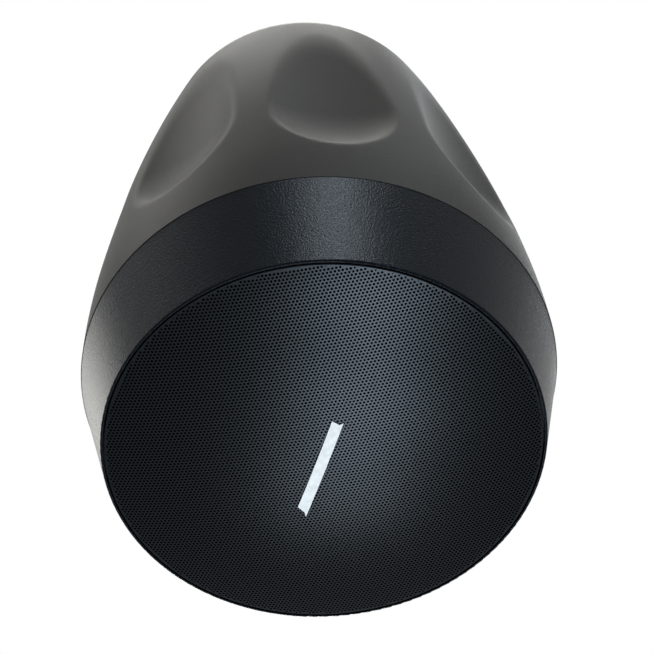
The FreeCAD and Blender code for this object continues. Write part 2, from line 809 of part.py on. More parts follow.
def tweeter_horn():
    outer = tweeter_r + horn_wall
    front = diaphragm_z - horn_length
    horn = turned([(outer, front), (outer, tweeter_back_z), (tweeter_r + 0.05, tweeter_back_z),
                   (tweeter_r + 0.05, diaphragm_z), (dome_lip_r + 2.9, diaphragm_z), (outer - 0.8, front)])
    bar = block(0, outer - 0.6, -horn_bar / 2, horn_bar / 2, front, front + 1.5)
    return fused(horn, all_round(bar, 3, 90.0) + [disc(horn_disc_r, front, front + 1.5)])


# Ports and wadding

def port_tube(side):
    x = side * port_circle_r
    front = baffle_z - port_flange_t
    outer = port_r + port_wall
    tube = ring(port_r, outer, front, front + port_length, x)
    return fused(tube, [ring(port_r, outer + port_flange, front, baffle_z, x)])


def damping_pad():
    floor_r = shell_outline_r(hollow_floor_z) - hollow_depth
    lean = (shell_outline_r(hollow_high) - floor_r) / (hollow_high - hollow_floor_z)
    wall_across = shell_wall * math.hypot(1.0, lean)

    def fitting_r(height):
        return floor_r + lean * (height - hollow_floor_z) - wall_across - pad_gap
    high = pad_low_z + pad_height
    return turned([(pad_hole_r, pad_low_z), (fitting_r(pad_low_z), pad_low_z), (fitting_r(high), high),
                   (pad_hole_r, high)])


# Connection panel

def panel_gasket():
    face = ring(ledge_inner_r, well_r - panel_clearance, ledge_z, panel_low_z)
    hole = disc(panel_screw_r + screw_hole_gap, ledge_z - 1, panel_low_z + 1, panel_screw_circle_r)
    return face.cut(all_round(hole, panel_screw_count, 30.0))


def top_panel():
    panel = disc(well_r - panel_clearance, panel_low_z, panel_z)
    low, high = panel_low_z - 1, panel_z + 1
    edge_hole = disc(panel_screw_r + screw_hole_gap, low, high, panel_screw_circle_r)
    holes = all_round(edge_hole, panel_screw_count, 30.0)
    bolt_x = hanger_half_span + hanger_foot / 2
    holes += [disc(m5_r + screw_hole_gap, low, high, side * bolt_x) for side in (-1, 1)]
    holes += [disc(m3_r + 0.2, low, high, x, y) for x, y in standoff_places()]
    holes.append(disc(bush_r + 0.1, low, high, 0, switch_y))
    return panel.cut(holes)


def panel_screws():
    length = panel_thickness + panel_gasket_t + panel_screw_bite
    one = screw(panel_screw_r - thread_gap, length, panel_head_r, panel_head_height, panel_z,
                panel_screw_circle_r, down=True)
    one = driven(one, panel_recess_r, panel_recess, panel_z + panel_head_height, panel_screw_circle_r, down=True)
    return group(all_round(one, panel_screw_count, 30.0))


def hanger_bracket():
    foot_z = panel_z + strap_thickness
    crown_z = panel_z + hanger_rise
    half, thick = hanger_half_span, strap_thickness
    reach = half + hanger_foot
    side = strap_width / 2
    strap = block(-half, half, -side, side, panel_z, crown_z + thick)
    corners = [edge for edge in strap.Edges
               if abs(edge.BoundBox.ZMin - crown_z - thick) < 0.01 and edge.BoundBox.YLength > side]
    strap = strap.makeFillet(hanger_bend, corners)
    inner = block(thick - half, half - thick, -side - 1, side + 1, panel_z - 1, crown_z)
    corners = [edge for edge in inner.Edges
               if abs(edge.BoundBox.ZMin - crown_z) < 0.01 and edge.BoundBox.YLength > side]
    strap = strap.cut(inner.makeFillet(hanger_bend - thick, corners))
    feet = [block(-reach, thick - half, -side, side, panel_z, foot_z),
            block(half - thick, reach, -side, side, panel_z, foot_z)]
    strap = fused(strap, feet)
    bolt_x = half + hanger_foot / 2
    holes = [disc(m5_r + screw_hole_gap, panel_z - 1, foot_z + 1, side * bolt_x) for side in (-1, 1)]
    holes.append(disc(hook_hole_r, crown_z - 1, crown_z + thick + 1))
    holes.append(disc(safety_hole_r, crown_z - 1, crown_z + thick + 1, safety_hole_x))
    return strap.cut(holes)


def hanger_bolts():
    seat = panel_z + strap_thickness
    length = strap_thickness + panel_thickness + m5_nut_height + 1.0
    bolts = []
    for side in (-1, 1):
        x = side * (hanger_half_span + hanger_foot / 2)
        bolt = screw(m5_r - thread_gap, length, m5_head_r, m5_head_height, seat, x, down=True)
        bolts.append(driven(bolt, 2.0, 2.0, seat + m5_head_height, x, down=True))
    return group(bolts)


def hanger_nuts():
    nuts = []
    for side in (-1, 1):
        x = side * (hanger_half_span + hanger_foot / 2)
        low = panel_low_z - m5_nut_height
        nuts.append(hexagon(m5_nut_flats, low, panel_low_z, x).cut(disc(m5_r, low - 1, panel_low_z + 1, x)))
    return group(nuts)


# Tap selector

def tap_switch():
    body_low = panel_low_z - switch_body_height
    body = disc(switch_body_r, body_low, panel_low_z, 0, switch_y)
    bush = disc(bush_r, panel_low_z, panel_low_z + bush_height, 0, switch_y)
    bore_low = panel_low_z + bush_height + knob_gap + knob_height - 4.0 - shaft_length - 0.5
    bore = disc(shaft_r + shaft_running_gap, bore_low, panel_low_z + bush_height + 1, 0, switch_y)
    return fused(body, [bush]).cut(bore)


def switch_nut():
    nut = hexagon(switch_nut_flats, panel_z, panel_z + switch_nut_height, 0, switch_y)
    return nut.cut(disc(bush_r + thread_gap, panel_z - 1, panel_z + switch_nut_height + 1, 0, switch_y))


def shaft_top_z():
    return panel_low_z + bush_height + knob_gap + knob_height - 4.0


def tap_shaft():
    return disc(shaft_r, shaft_top_z() - shaft_length, shaft_top_z(), 0, switch_y)


def tap_knob():
    low = panel_low_z + bush_height + knob_gap
    high = low + knob_height
    knob = Part.makeCone(knob_r, knob_r - 0.8, knob_height, Vector(0, switch_y, low), UP)
    flutes = []
    for index in range(knob_flutes):
        angle = math.radians(index * 360.0 / knob_flutes + 15.0)
        flutes.append(disc(knob_flute_r, low - 1, high + 1, (knob_r + 0.2) * math.cos(angle),
                           switch_y + (knob_r + 0.2) * math.sin(angle)))
    knob = knob.cut(flutes)
    pointer = block(-knob_r + 1.2, knob_r - 1.2, switch_y - knob_rib / 2, switch_y + knob_rib / 2,
                    high - 0.5, high + 1.0)
    knob = knob.fuse(pointer)
    return knob.cut(disc(shaft_r, low - 1, shaft_top_z(), 0, switch_y))


# Input connector

def wire_places():
    pitch = header_width / wire_way_count
    return [(index - (wire_way_count - 1) / 2) * pitch for index in range(wire_way_count)]


def terminal_header():
    half = header_width / 2
    low, high = header_y - header_depth / 2, header_y + header_depth / 2
    return block(-half, half, low, high, panel_z, panel_z + header_height)


def terminal_plug():
    half = header_width / 2
    low = header_y - header_depth / 2 + plug_inset
    high = header_y + header_depth / 2 - plug_inset
    base = panel_z + header_height
    plug = block(-half, half, low, high, base, base + plug_height)
    cuts = [disc(wire_way_r, base + 5, base + plug_height + 1, x, header_y + 2.5) for x in wire_places()]
    for x in wire_places():
        start = Vector(x, low - 1, base + plug_height - 4.5)
        cuts.append(Part.makeCylinder(terminal_screw_r + 0.1, 4.0, start, Vector(0, 1, 0)))
    return plug.cut(cuts)


def terminal_screws():
    low = header_y - header_depth / 2 + plug_inset
    height = panel_z + header_height + plug_height - 4.5
    screws = []
    for x in wire_places():
        body = Part.makeCylinder(terminal_screw_r, 2.5, Vector(x, low + 0.5, height), Vector(0, 1, 0))
        slot = block(x - terminal_screw_r, x + terminal_screw_r, low, low + 1.2, height - 0.3, height + 0.3)
        screws.append(body.cut(slot))
    return group(screws)


# Crossover

def standoff_places():
    return [(x, y) for x in (-standoff_x, standoff_x) for y in (-standoff_y, standoff_y)]


def board_standoffs():
    return group([ring(m3_r, standoff_r, board_z, panel_low_z, x, y) for x, y in standoff_places()])


def crossover_board():
    half_x, half_y = board_width / 2, board_depth / 2
    board = block(-half_x, half_x, -half_y, half_y, board_z - board_thickness, board_z)
    holes = [disc(m3_r + 0.2, board_z - board_thickness - 1, board_z + 1, x, y) for x, y in standoff_places()]
    return board.cut(holes)


def board_screws():
    low = board_z - board_thickness
    screws = []
    for x, y in standoff_places():
        screws.append(screw(m3_r - thread_gap, board_thickness + 6.0, m3_head_r, m3_head_height, low, x, y))
        screws.append(screw(m3_r - thread_gap, panel_thickness + 6.0, m3_head_r, m3_head_height, panel_z, x, y,
                            down=True))
    return group(screws)


def inductor(inner, outer, height, x, y):
    low = board_z - board_thickness
    return ring(inner, outer, low - height, low, x, y)


def capacitors():
    cans = []
    radius = 7.0
    for x in (3.5, 18.5):
        start = Vector(x, -14, board_z - board_thickness - radius)
        can = Part.makeCylinder(radius, 28, start, Vector(0, 1, 0))
        cans.append(can.makeChamfer(0.8, can.Edges[:1]))
    return group(cans)


def resistor():
    low = board_z - board_thickness
    return block(0, 24, 18, 26, low - 8, low)


def transformer_core():
    half_x, half_y = core_width / 2, core_depth / 2
    core = block(-half_x, half_x, -half_y, half_y, board_z, board_z + core_height)
    window_low = half_x - core_leg - lamination_slot
    cuts = [block(side_low, side_low + lamination_slot, -half_y - 1, half_y + 1,
                  board_z + core_leg, board_z + core_height - core_leg)
            for side_low in (window_low, -window_low - lamination_slot)]
    return core.cut(cuts)


def transformer_winding():
    outer_x = core_width / 2 - core_leg - 0.4
    leg_x = core_width / 2 - core_leg - lamination_slot + 0.2
    leg_y = core_depth / 2 + 0.2
    outer_y = leg_y + winding_overhang
    low, high = board_z + core_leg + 0.4, board_z + core_height - core_leg - 0.4
    return block(-outer_x, outer_x, -outer_y, outer_y, low, high).cut(
        block(-leg_x, leg_x, -leg_y, leg_y, low - 1, high + 1))


def bent_lead(points, radius):
    """Round lead along straight runs joined by tangent arcs."""
    edges = []
    start = points[0]
    for before, corner, after in zip(points, points[1:], points[2:]):
        into, out = (before - corner), (after - corner)
        reach = 0.45 * min(into.Length, out.Length)
        into.normalize()
        out.normalize()
        first, last = corner + into * reach, corner + out * reach
        half = into.getAngle(out) / 2
        bend = reach * math.tan(half)
        to_centre = (into + out).normalize()
        middle = corner + to_centre * (bend / math.sin(half) - bend)
        edges += [line(start, first), arc(first, middle, last)]
        start = last
    edges.append(line(start, points[-1]))
    wire = Part.Wire(edges)
    along = points[1] - points[0]
    section = Part.Wire(Part.makeCircle(radius, points[0], along))
    return wire.makePipeShell([section], True, True)


def driver_lead():
    start_z = basket_rear_z + tab_strip_t
    lead_x = basket_rear_r - 1.0
    board_low = board_z - board_thickness
    return bent_lead([Vector(lead_x, 0, start_z), Vector(lead_x, 0, start_z + lead_rise),
                      Vector(lead_board_x, 0, board_low - lead_drop), Vector(lead_board_x, 0, board_low)], lead_r)


def input_lead():
    return disc(lead_r, board_z, panel_low_z, 5.0, core_depth / 2 + winding_overhang + 4.0)


pieces = {
    "upper_shell": upper_shell,
    "lower_housing": lower_housing,
    "shell_gasket": shell_gasket,
    "housing_screws": housing_screws,
    "shell_inserts": shell_inserts,
    "grille": grille,
    "grille_scrim": grille_scrim,
    "name_strip": name_strip,
    "driver_gasket": driver_gasket,
    "woofer_basket": woofer_basket,
    "woofer_surround": woofer_surround,
    "woofer_cone": woofer_cone,
    "woofer_spider": woofer_spider,
    "woofer_former": woofer_former,
    "woofer_winding": woofer_winding,
    "woofer_front_plate": woofer_front_plate,
    "woofer_magnet": woofer_magnet,
    "woofer_yoke": woofer_yoke,
    "woofer_screws": woofer_screws,
    "driver_tabs": driver_tabs,
    "tweeter_post": tweeter_post,
    "post_nut": post_nut,
    "tweeter_pot": tweeter_pot,
    "tweeter_magnet": tweeter_magnet,
    "tweeter_pole": tweeter_pole,
    "tweeter_coil": tweeter_coil,
    "tweeter_dome": tweeter_dome,
    "tweeter_surround": tweeter_surround,
    "tweeter_horn": tweeter_horn,
    "port_tube_left": lambda: port_tube(-1),
    "port_tube_right": lambda: port_tube(1),
    "damping_pad": damping_pad,
    "panel_gasket": panel_gasket,
    "top_panel": top_panel,
    "panel_screws": panel_screws,
    "hanger_bracket": hanger_bracket,
    "hanger_bolts": hanger_bolts,
    "hanger_nuts": hanger_nuts,
    "tap_switch": tap_switch,
    "switch_nut": switch_nut,
    "tap_shaft": tap_shaft,
    "tap_knob": tap_knob,
    "terminal_header": terminal_header,
    "terminal_plug": terminal_plug,
    "terminal_screws": terminal_screws,
    "board_standoffs": board_standoffs,
    "crossover_board": crossover_board,
    "board_screws": board_screws,
    "inductor_woofer": lambda: inductor(7.0, 13.0, 16.0, -18.5, 9.0),
    "inductor_tweeter": lambda: inductor(4.5, 9.0, 12.0, -21.0, -15.0),
    "capacitors": capacitors,
    "resistor": resistor,
    "transformer_core": transformer_core,
    "transformer_winding": transformer_winding,
    "driver_lead": driver_lead,
    "input_lead": input_lead,
}

os.makedirs("parts", exist_ok=True)
for name, make in pieces.items():
    solid = make()
    solid.exportStep("parts/" + name + ".step")
    box = solid.BoundBox
    print("%-20s solids %2d valid %s volume %9.0f z %7.2f to %7.2f" % (
        name, len(solid.Solids), solid.isValid(), solid.Volume, box.ZMin, box.ZMax))
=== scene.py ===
# %% [markdown]
# A pendant loudspeaker, seen from below. It is a bell of dark grained plastic with eight scooped
# hollows, a glossier band under it, and a domed perforated grille that faces the floor.
# The working parts come in ready made, at their real size. This file dresses them: it makes the
# pieces whose surface matters most again as fine meshes, and gives everything its finish.
# The ready-made parts are loaded first, because every later piece takes its place from them.

# %% Load the parts and note their box
import json
import math

import bpy
import numpy as np
from mathutils import Matrix, Vector
from mathutils.geometry import delaunay_2d_cdt


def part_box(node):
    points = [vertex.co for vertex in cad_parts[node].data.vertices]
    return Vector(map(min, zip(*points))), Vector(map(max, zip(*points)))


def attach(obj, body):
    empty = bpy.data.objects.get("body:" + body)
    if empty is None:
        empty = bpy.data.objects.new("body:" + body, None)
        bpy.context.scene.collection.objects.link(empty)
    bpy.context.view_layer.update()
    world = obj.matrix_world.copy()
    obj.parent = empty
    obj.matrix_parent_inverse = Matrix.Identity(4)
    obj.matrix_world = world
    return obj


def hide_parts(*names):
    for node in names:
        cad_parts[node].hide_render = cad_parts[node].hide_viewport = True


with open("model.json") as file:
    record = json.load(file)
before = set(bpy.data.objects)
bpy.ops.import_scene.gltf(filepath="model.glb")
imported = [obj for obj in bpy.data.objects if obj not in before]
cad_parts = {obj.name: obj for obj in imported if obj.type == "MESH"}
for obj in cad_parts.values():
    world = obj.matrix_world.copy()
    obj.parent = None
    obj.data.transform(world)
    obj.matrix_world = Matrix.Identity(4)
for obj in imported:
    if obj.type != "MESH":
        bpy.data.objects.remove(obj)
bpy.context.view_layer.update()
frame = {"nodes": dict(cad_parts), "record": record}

MM = 0.001
shell_low, shell_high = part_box("upper_shell")
housing_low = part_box("lower_housing")[0]
grille_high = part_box("grille")[1]

# %% [markdown]
# The camera comes before any looks, because the photograph was taken with a long lens from well
# below the speaker. A camera can be aimed by hand, but here its angles were measured from the
# ellipse of the rim, so they are written as angles and turned into three axes.

# %% The camera under the speaker
LENS = 170.3
SENSOR = 36.0
CAMERA_DISTANCE = 1.785
CAMERA_AZIMUTH = math.radians(-9.0)
CAMERA_ELEVATION = math.radians(-52.64)
CAMERA_ROLL = math.radians(-4.0)
AIM_ABOVE = math.radians(2.21)
AIM_RIGHT = math.radians(0.048)
FARTHEST_SEEN = 40.0
rim_centre = Vector((0, 0, housing_low.z))


def photo_camera():
    back = Vector((math.sin(CAMERA_AZIMUTH) * math.cos(CAMERA_ELEVATION),
                   -math.cos(CAMERA_AZIMUTH) * math.cos(CAMERA_ELEVATION),
                   math.sin(CAMERA_ELEVATION)))
    level_right = Vector((math.cos(CAMERA_AZIMUTH), math.sin(CAMERA_AZIMUTH), 0))
    level_up = back.cross(level_right)
    right = math.cos(CAMERA_ROLL) * level_right + math.sin(CAMERA_ROLL) * level_up
    up = math.cos(CAMERA_ROLL) * level_up - math.sin(CAMERA_ROLL) * level_right
    ahead = -back * math.cos(AIM_RIGHT) * math.cos(AIM_ABOVE)
    ahead += right * math.sin(AIM_RIGHT) * math.cos(AIM_ABOVE) + up * math.sin(AIM_ABOVE)
    ahead.normalize()
    right = ahead.cross(up).normalized()
    up = right.cross(ahead)
    camera_data = bpy.data.cameras.new("photo_camera")
    camera_data.lens = LENS
    camera_data.sensor_width = SENSOR
    camera_data.clip_end = FARTHEST_SEEN
    camera = bpy.data.objects.new("photo_camera", camera_data)
    bpy.context.scene.collection.objects.link(camera)
    turn = Matrix((right, up, -ahead)).transposed().to_4x4()
    camera.matrix_world = Matrix.Translation(rim_centre + back * CAMERA_DISTANCE) @ turn
    return camera


bpy.context.scene.camera = photo_camera()
bpy.context.scene.view_settings.view_transform = "Standard"
print("camera at", [round(value, 3) for value in bpy.context.scene.camera.location])

# %% [markdown]
# The speaker hangs, so the floor is far under it and the camera stands between the two.
# A white room could be built from walls, but a pale floor and a white world are enough: the world
# is white where the camera, a reflection or a glass looks at it, and dimmer where it only lights.
# The floor glows a little for the same rays, so that it stays pale though the lamps are far from it.

# %% Floor, world and lamps
FLOOR_DROP = 3.4
FLOOR_SIZE = 30.0
FLOOR_GLOW = 0.5
FLOOR_COLOUR = (0.8, 0.8, 0.79)
FLOOR_ROUGHNESS = 0.9
WORLD_LIGHT = 0.08
UPPER_DISTANCE = 2.0
LOWER_DISTANCE = 1.6
LOWER_SIZE = 0.4
LOWER_COLOUR = (0.95, 0.98, 1.0)


def seen_or_lighting(tree, lighting, seen):
    """Socket that is one number for rays that only light, and another where a surface is seen."""
    path = tree.nodes.new("ShaderNodeLightPath")
    either = tree.nodes.new("ShaderNodeMath")
    either.operation = "MAXIMUM"
    any_of_three = tree.nodes.new("ShaderNodeMath")
    any_of_three.operation = "MAXIMUM"
    strength = tree.nodes.new("ShaderNodeMapRange")
    strength.inputs["To Min"].default_value = lighting
    strength.inputs["To Max"].default_value = seen
    tree.links.new(path.outputs["Is Camera Ray"], either.inputs[0])
    tree.links.new(path.outputs["Is Glossy Ray"], either.inputs[1])
    tree.links.new(either.outputs[0], any_of_three.inputs[0])
    tree.links.new(path.outputs["Is Transmission Ray"], any_of_three.inputs[1])
    tree.links.new(any_of_three.outputs[0], strength.inputs["Value"])
    return strength.outputs["Result"]


def pale_floor():
    half = FLOOR_SIZE / 2
    mesh = bpy.data.meshes.new("floor")
    corners = [(-half, -half, -FLOOR_DROP), (half, -half, -FLOOR_DROP),
               (half, half, -FLOOR_DROP), (-half, half, -FLOOR_DROP)]
    mesh.from_pydata(corners, [], [(0, 1, 2, 3)])
    floor = bpy.data.objects.new("floor", mesh)
    bpy.context.scene.collection.objects.link(floor)
    material = bpy.data.materials.new("pale_floor")
    material.use_nodes = True
    shader = material.node_tree.nodes["Principled BSDF"]
    shader.inputs["Base Color"].default_value = (*FLOOR_COLOUR, 1)
    shader.inputs["Roughness"].default_value = FLOOR_ROUGHNESS
    shader.inputs["Emission Color"].default_value = (1, 1, 1, 1)
    glow = seen_or_lighting(material.node_tree, 0.0, FLOOR_GLOW)
    material.node_tree.links.new(glow, shader.inputs["Emission Strength"])
    floor.data.materials.append(material)


def studio_world(light_strength):
    world = bpy.data.worlds.new("studio")
    bpy.context.scene.world = world
    world.use_nodes = True
    background = world.node_tree.nodes["Background"]
    background.inputs["Color"].default_value = (1, 1, 1, 1)
    strength = seen_or_lighting(world.node_tree, light_strength, 1.0)
    world.node_tree.links.new(strength, background.inputs["Strength"])


def soft_lamp(name, azimuth, elevation, distance, size, power, colour):
    """Square area lamp that faces the speaker's middle. Azimuth 0 is in front, 90 to the right."""
    target = Vector((0, 0, (housing_low.z + shell_high.z) / 2))
    a, e = math.radians(azimuth), math.radians(elevation)
    away = Vector((math.sin(a) * math.cos(e), -math.cos(a) * math.cos(e), math.sin(e)))
    data = bpy.data.lights.new(name, "AREA")
    data.size = size
    data.energy = power
    data.color = colour
    lamp = bpy.data.objects.new(name, data)
    lamp.location = target + away * distance
    lamp.rotation_mode = "QUATERNION"
    lamp.rotation_quaternion = away.to_track_quat("Z", "Y")
    bpy.context.scene.collection.objects.link(lamp)


# Name, azimuth, elevation, size, power and colour of the lamps above and around the speaker.
UPPER_LAMPS = [
    ("lamp_front", 2, 33, 0.55, 34, (0.93, 0.98, 1.0)),
    ("lamp_back", 178, 28, 0.8, 24, (0.96, 0.98, 1.0)),
    ("lamp_bowls", 176, 80, 0.6, 8, (1.0, 0.99, 0.95)),
    ("lamp_above", 0, 88, 1.6, 3, (1.0, 0.98, 0.93)),
    ("lamp_left_above", -90, 60, 0.8, 7, (1.0, 0.98, 0.92)),
    ("lamp_left_behind", -135, 32, 0.9, 11, (1.0, 0.99, 0.93)),
    ("lamp_right_above", 45, 60, 0.8, 4, (0.9, 0.95, 1.0)),
    ("lamp_right_behind", 135, 60, 0.8, 3, (0.92, 0.96, 1.0)),
]
# Name, azimuth, elevation and power of the lamps under the grille, which give it its bright streak.
LOWER_LAMPS = [
    ("lamp_floor_near", 122, -80, 9),
    ("lamp_floor_far", 158, -66, 7.2),
    ("lamp_floor_end", 168, -53, 4.2),
]
pale_floor()
studio_world(WORLD_LIGHT)
for name, azimuth, elevation, size, power, colour in UPPER_LAMPS:
    soft_lamp(name, azimuth, elevation, UPPER_DISTANCE, size, power, colour)
for name, azimuth, elevation, power in LOWER_LAMPS:
    soft_lamp(name, azimuth, elevation, LOWER_DISTANCE, LOWER_SIZE, power, LOWER_COLOUR)
print("floor at", -FLOOR_DROP, "m, lamps:", len(UPPER_LAMPS) + len(LOWER_LAMPS))

# %% [markdown]
# Most finishes here are dark and differ only in grain: the bell is matt with a fine spark grain,
# the band is glossier with a coarser one, the grille is powder coated. A picture of each could be
# wrapped on, but noise in three dimensions needs no unwrapping and has no seams. One function
# makes a finish from its colour, gloss and grain.

# %% A finish from colour, gloss and grain
COOL_SHEEN = (0.7, 0.85, 1.0)
MOTTLE_DETAIL = 3.0
GRAIN_DETAIL = 2.0


def finish(name, colour, roughness, metallic=0.0, specular=0.5, grain=0.6, depth=0.02, mottle=0.12,
           mottle_size=14.0, rough_spread=0.06, sheen_tint=(1, 1, 1)):
    """Material with a mottled colour, uneven gloss and a fine bump. Grain and mottle size in mm."""
    material = bpy.data.materials.new(name)
    material.use_nodes = True
    nodes, links = material.node_tree.nodes, material.node_tree.links
    shader = nodes["Principled BSDF"]
    shader.inputs["Metallic"].default_value = metallic
    shader.inputs["Specular IOR Level"].default_value = specular
    shader.inputs["Specular Tint"].default_value = (*sheen_tint, 1)
    place = nodes.new("ShaderNodeTexCoord")
    broad = nodes.new("ShaderNodeTexNoise")
    broad.inputs["Scale"].default_value = 1.0 / (mottle_size * MM)
    broad.inputs["Detail"].default_value = MOTTLE_DETAIL
    fine = nodes.new("ShaderNodeTexNoise")
    fine.inputs["Scale"].default_value = 1.0 / (grain * MM)
    fine.inputs["Detail"].default_value = GRAIN_DETAIL
    for noise in (broad, fine):
        links.new(place.outputs["Object"], noise.inputs["Vector"])
    blend = nodes.new("ShaderNodeMix")
    blend.data_type = "RGBA"
    darker = [value * (1 - mottle) for value in colour]
    lighter = [min(1.0, value * (1 + mottle)) for value in colour]
    blend.inputs["A"].default_value = (*darker, 1)
    blend.inputs["B"].default_value = (*lighter, 1)
    links.new(broad.outputs["Fac"], blend.inputs["Factor"])
    links.new(blend.outputs["Result"], shader.inputs["Base Color"])
    gloss = nodes.new("ShaderNodeMapRange")
    gloss.inputs["To Min"].default_value = roughness - rough_spread
    gloss.inputs["To Max"].default_value = roughness + rough_spread
    links.new(fine.outputs["Fac"], gloss.inputs["Value"])
    links.new(gloss.outputs["Result"], shader.inputs["Roughness"])
    bump = nodes.new("ShaderNodeBump")
    bump.inputs["Strength"].default_value = 1.0
    bump.inputs["Distance"].default_value = depth * MM
    links.new(fine.outputs["Fac"], bump.inputs["Height"])
    links.new(bump.outputs["Normal"], shader.inputs["Normal"])
    return material


finishes = {
    "shell_plastic": finish("shell_plastic", (0.027, 0.0265, 0.0255), 0.42, specular=0.025, grain=1.0,
                            depth=0.17, mottle=0.05),
    "housing_plastic": finish("housing_plastic", (0.004, 0.0055, 0.008), 0.29, specular=0.06, grain=1.05,
                              depth=0.26, mottle=0.08, sheen_tint=COOL_SHEEN),
    "grille_metal": finish("grille_metal", (0.001, 0.0014, 0.0024), 0.28, specular=0.205, grain=0.3,
                           depth=0.01, mottle=0.05, sheen_tint=COOL_SHEEN),
    "strip_print": finish("strip_print", (0.66, 0.73, 0.76), 0.5, grain=1.5, depth=0.02, mottle=0.3,
                          mottle_size=4.0),
    "scrim_cloth": finish("scrim_cloth", (0.002, 0.002, 0.0022), 0.95, specular=0.05, grain=0.5, depth=0.05),
    "black_plastic": finish("black_plastic", (0.02, 0.02, 0.021), 0.45),
    "gasket_foam": finish("gasket_foam", (0.012, 0.012, 0.012), 0.9, specular=0.2, grain=0.8, depth=0.1),
    "surround_rubber": finish("surround_rubber", (0.015, 0.015, 0.016), 0.6),
    "cone_plastic": finish("cone_plastic", (0.03, 0.03, 0.033), 0.4, grain=0.4),
    "cloth_yellow": finish("cloth_yellow", (0.5, 0.33, 0.1), 0.85, grain=0.5, depth=0.1),
    "tweeter_cloth": finish("tweeter_cloth", (0.05, 0.05, 0.055), 0.7),
    "basket_metal": finish("basket_metal", (0.025, 0.025, 0.026), 0.45, grain=0.5, depth=0.03),
    "zinc_steel": finish("zinc_steel", (0.42, 0.43, 0.42), 0.38, metallic=1.0, grain=1.2, depth=0.01),
    "ferrite": finish("ferrite", (0.06, 0.06, 0.065), 0.6, grain=0.7),
    "foil": finish("foil", (0.75, 0.75, 0.76), 0.25, metallic=1.0, grain=0.8, depth=0.01),
    "copper": finish("copper", (0.6, 0.22, 0.09), 0.3, metallic=1.0, grain=0.5),
    "insert_brass": finish("insert_brass", (0.68, 0.48, 0.2), 0.3, metallic=1.0),
    "wadding": finish("wadding", (0.6, 0.6, 0.56), 1.0, specular=0.1, grain=2.0, depth=0.8, mottle=0.2),
    "board_laminate": finish("board_laminate", (0.02, 0.13, 0.045), 0.35, grain=0.4),
    "can_film": finish("can_film", (0.45, 0.06, 0.03), 0.25, grain=0.6),
    "resistor_ceramic": finish("resistor_ceramic", (0.72, 0.7, 0.64), 0.75, grain=0.4),
    "core_steel": finish("core_steel", (0.12, 0.11, 0.11), 0.45, metallic=0.6, grain=0.5),
    "lead_sheath": finish("lead_sheath", (0.03, 0.03, 0.033), 0.5),
}
print("finishes:", len(finishes))

# %% [markdown]
# Each ready-made part already says which finish it takes. Painting them one by one would be a long
# list, so a loop reads that table and swaps the material. A helper shades faces smooth up to a
# modest angle, so that turned surfaces look round and sharp corners stay sharp; the bell and the
# grille's skirt made below use it.

# %% Dress every ready-made part
SMOOTH_ANGLE = math.radians(28)


def smooth_by_angle(piece, angle=SMOOTH_ANGLE):
    bpy.context.view_layer.objects.active = piece
    for other in bpy.context.selected_objects:
        other.select_set(False)
    piece.select_set(True)
    bpy.ops.object.shade_smooth_by_angle(angle=angle)


slot_of = {row["node"]: row["material_slot"] for row in frame["record"]["subparts"]}
for node, slot in slot_of.items():
    part = frame["nodes"][node]
    part.data.materials.clear()
    part.data.materials.append(finishes[slot])
print("dressed", len(slot_of), "parts")

# %% [markdown]
# A mesh made from arrays is quicker than one built face by face when there are many thousands.
# This helper takes points and faces and gives back a smooth-shaded object that rides on the body.

# %% From points to a piece


def new_piece(name, points, faces, slot, body="enclosure"):
    mesh = bpy.data.meshes.new(name)
    faces = np.asarray(faces)
    mesh.from_pydata(np.asarray(points).tolist(), [], faces.tolist())
    mesh.update()
    mesh.shade_smooth()
    piece = bpy.data.objects.new(name, mesh)
    bpy.context.scene.collection.objects.link(piece)
    mesh.materials.append(finishes[slot])
    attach(piece, body)
    print(name, "points", len(mesh.vertices), "faces", len(mesh.polygons))
    return piece


def closed_grid_faces(rows, columns, close_rows):
    """Quads of a grid whose columns close on themselves, and whose rows do too if asked."""
    row = np.arange(rows if close_rows else rows - 1)[:, None]
    column = np.arange(columns)[None, :]
    next_row = (row + 1) % rows
    next_column = (column + 1) % columns
    corners = np.broadcast_arrays(row * columns + column, row * columns + next_column,
                                  next_row * columns + next_column, next_row * columns + column)
    return np.stack(corners, -1).reshape(-1, 4)


# %% [markdown]
# The bell is one moulding. Its outline is four arcs, each going on where the last one ends, and
# the last turns over into the well in the top. It could be spun with a Screw modifier, but the
# eight hollows cut into it, and their soft rims are what the eye goes to. So the outline is
# written as rows of points with their normals, and each point is then pushed in to the hollow.

# %% The outline of the bell
SHELL_WALL = 3.5 * MM
FLANK_HEIGHT = 49.0 * MM
CROWN_HEIGHT = 220.7 * MM
SHOULDER_RADIUS = 43.4 * MM
BROW_RADIUS = 28.0 * MM
TILT_FOOT = math.radians(3.2)
TILT_FLANK = math.radians(7.56)
TILT_CROWN = math.radians(17.33)
TILT_SHOULDER = math.radians(45.0)
WELL_RADIUS = 54.2 * MM
WELL_EDGE = 2.0 * MM
LEDGE_RADIUS = 46.0 * MM
# Rows of points in the flank, the crown, the shoulder and the brow.
OUTER_COUNTS = (16, 136, 12, 12)
INNER_COUNTS = (6, 34, 5, 5)
foot_radius = shell_high.x
foot_z = shell_low.z
ledge_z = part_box("panel_gasket")[0].z


def arc_of(start, tilt_from, tilt_to, radius, count):
    """Points (r, z) and outward normals of an arc that leans in from one tilt to the other."""
    tilt = np.linspace(tilt_from, tilt_to, count)
    r = start[0] - radius * (math.cos(tilt_from) - np.cos(tilt))
    z = start[1] + radius * (np.sin(tilt) - math.sin(tilt_from))
    return np.column_stack([r, z, np.cos(tilt), np.sin(tilt)])


